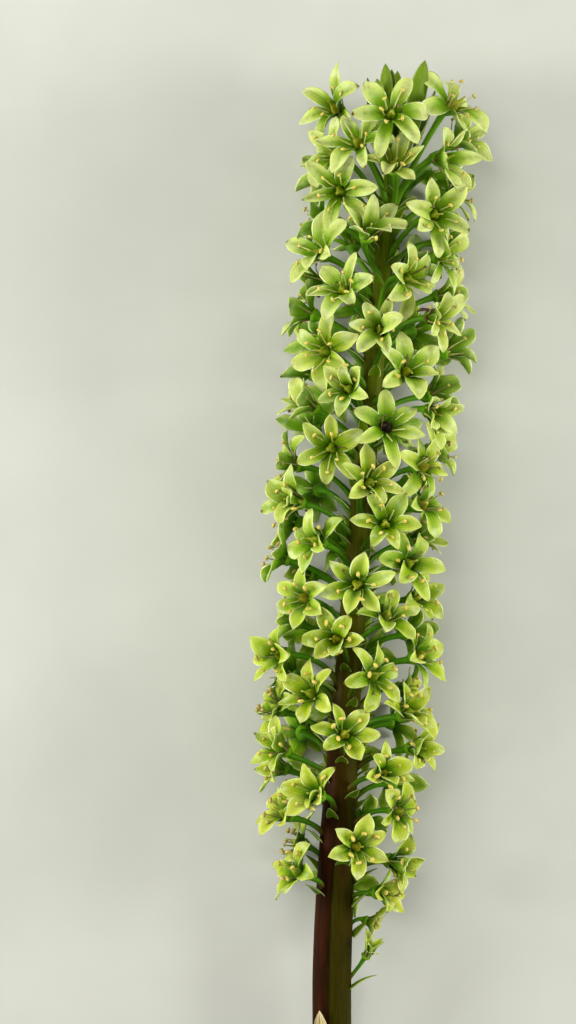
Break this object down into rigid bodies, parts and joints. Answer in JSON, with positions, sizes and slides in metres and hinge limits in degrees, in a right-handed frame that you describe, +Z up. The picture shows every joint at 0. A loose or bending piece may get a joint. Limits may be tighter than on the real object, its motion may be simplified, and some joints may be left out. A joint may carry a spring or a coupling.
{
  "type": "pineapple lily flower stem",
  "caption": "Thick cut flower stem lying on its side, its upper two thirds a dense spiral of stalked six-petalled green florets, ending in a small tuft of leafy bracts.",
  "frame": {"origin": "middle of the base of the bounding box, on the surface the stem lies on", "axes": "+Y along the stem from the cut end to the leafy tuft, +Z up, +X to the right seen from above with the tuft at the far end"},
  "size_m": [0.0821, 0.45, 0.0594],
  "materials": {
    "stem_and_florets": "satin",
    "coma_leaf": "satin"
  },
  "bodies": {
    "root": {"flower_stem": "stem_and_florets", "coma_leaf_01": "coma_leaf", "coma_leaf_02": "coma_leaf", "coma_leaf_03": "coma_leaf", "coma_leaf_04": "coma_leaf", "coma_leaf_05": "coma_leaf", "coma_leaf_06": "coma_leaf", "coma_leaf_07": "coma_leaf", "coma_leaf_08": "coma_leaf", "coma_leaf_09": "coma_leaf", "coma_leaf_10": "coma_leaf", "coma_leaf_11": "coma_leaf", "coma_leaf_12": "coma_leaf"}
  },
  "joints": []
}
